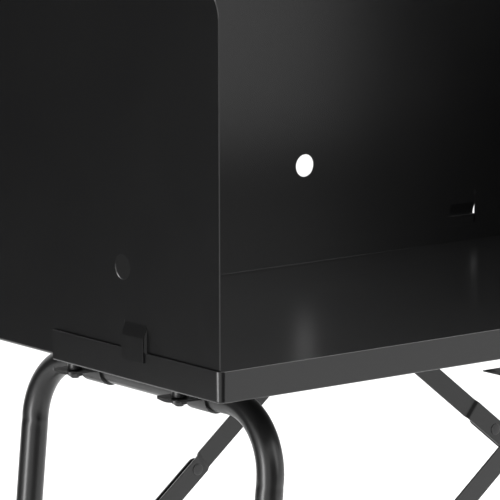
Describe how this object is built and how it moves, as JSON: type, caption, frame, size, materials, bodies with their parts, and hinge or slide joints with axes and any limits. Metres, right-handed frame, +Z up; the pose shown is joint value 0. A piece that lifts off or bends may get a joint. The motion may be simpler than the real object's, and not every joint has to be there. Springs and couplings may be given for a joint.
{
  "type": "coal forge",
  "caption": "Folding sheet-steel coal forge: a shallow hearth tray with a three-sided wind shield on two folding tube leg frames with flat-bar braces.",
  "frame": {"origin": "on the floor, under the middle of the object", "axes": "+X along the front from left to right, -Y towards the open front, +Z up"},
  "size_m": [0.895, 0.485, 1.02],
  "materials": {
    "black_sheet": "semi-gloss black enamel on sheet steel",
    "black_tube": "glossy black powder coat on steel tube",
    "black_bar": "satin black paint on flat steel bar",
    "fastener": "black-painted steel rivets and studs",
    "rubber_foot": "matt black rubber"
  },
  "bodies": {
    "hearth": {"hearth_tray": "black_sheet", "left_wall": "black_sheet", "right_wall": "black_sheet", "back_wall": "black_sheet", "left_front_clip_outer_stud": "fastener", "left_front_clip_inner_stud": "fastener", "left_front_bracket_left_stud": "fastener", "left_front_bracket_right_stud": "fastener", "left_front_saddle_clip": "black_bar", "left_front_bracket": "black_bar", "left_front_bracket_pin": "fastener", "left_rear_clip_outer_stud": "fastener", "left_rear_clip_inner_stud": "fastener", "left_rear_bracket_left_stud": "fastener", "left_rear_bracket_right_stud": "fastener", "left_rear_saddle_clip": "black_bar", "left_rear_bracket": "black_bar", "left_rear_bracket_pin": "fastener", "right_front_clip_outer_stud": "fastener", "right_front_clip_inner_stud": "fastener", "right_front_bracket_left_stud": "fastener", "right_front_bracket_right_stud": "fastener", "right_front_saddle_clip": "black_bar", "right_front_bracket": "black_bar", "right_front_bracket_pin": "fastener", "right_rear_clip_outer_stud": "fastener", "right_rear_clip_inner_stud": "fastener", "right_rear_bracket_left_stud": "fastener", "right_rear_bracket_right_stud": "fastener", "right_rear_saddle_clip": "black_bar", "right_rear_bracket": "black_bar", "right_rear_bracket_pin": "fastener"},
    "left_legs": {"left_leg_frame": "black_tube", "left_front_foot": "rubber_foot", "left_front_leg_pin": "fastener", "left_rear_foot": "rubber_foot", "left_rear_leg_pin": "fastener"},
    "left_upper_bars": {"left_front_upper_bar": "black_bar", "left_front_elbow_pin": "fastener", "left_rear_upper_bar": "black_bar", "left_rear_elbow_pin": "fastener"},
    "left_lower_bars": {"left_front_lower_bar": "black_bar", "left_rear_lower_bar": "black_bar"},
    "right_legs": {"right_leg_frame": "black_tube", "right_front_foot": "rubber_foot", "right_front_leg_pin": "fastener", "right_rear_foot": "rubber_foot", "right_rear_leg_pin": "fastener"},
    "right_upper_bars": {"right_front_upper_bar": "black_bar", "right_front_elbow_pin": "fastener", "right_rear_upper_bar": "black_bar", "right_rear_elbow_pin": "fastener"},
    "right_lower_bars": {"right_front_lower_bar": "black_bar", "right_rear_lower_bar": "black_bar"}
  },
  "joints": [
    {"name": "left_fold", "type": "hinge", "parent": "hearth", "child": "left_legs", "pos_m": [-0.3376, 0, 0.6282], "axis": [0, -1, 0], "range_deg": [0, 95.55]},
    {"name": "left_upper_swing", "type": "hinge", "parent": "hearth", "child": "left_upper_bars", "pos_m": [-0.0052, 0, 0.6282], "axis": [0, -1, 0], "range_deg": [0, 141.06]},
    {"name": "left_lower_swing", "type": "hinge", "parent": "left_legs", "child": "left_lower_bars", "pos_m": [-0.36599, 0, 0.33608], "axis": [0, 1, 0], "range_deg": [0, 134.6]},
    {"name": "right_fold", "type": "hinge", "parent": "hearth", "child": "right_legs", "pos_m": [0.3376, 0, 0.6282], "axis": [0, 1, 0], "range_deg": [0, 95.55]},
    {"name": "right_upper_swing", "type": "hinge", "parent": "hearth", "child": "right_upper_bars", "pos_m": [0.0052, 0, 0.6282], "axis": [0, 1, 0], "range_deg": [0, 141.06]},
    {"name": "right_lower_swing", "type": "hinge", "parent": "right_legs", "child": "right_lower_bars", "pos_m": [0.36599, 0, 0.33608], "axis": [0, -1, 0], "range_deg": [0, 134.6]}
  ],
  "couplings": [
    {"joint": "left_upper_swing", "follows": "left_fold", "ratio": 1.4757},
    {"joint": "left_lower_swing", "follows": "left_fold", "ratio": 1.4081},
    {"joint": "right_upper_swing", "follows": "right_fold", "ratio": 1.4757},
    {"joint": "right_lower_swing", "follows": "right_fold", "ratio": 1.4081}
  ]
}
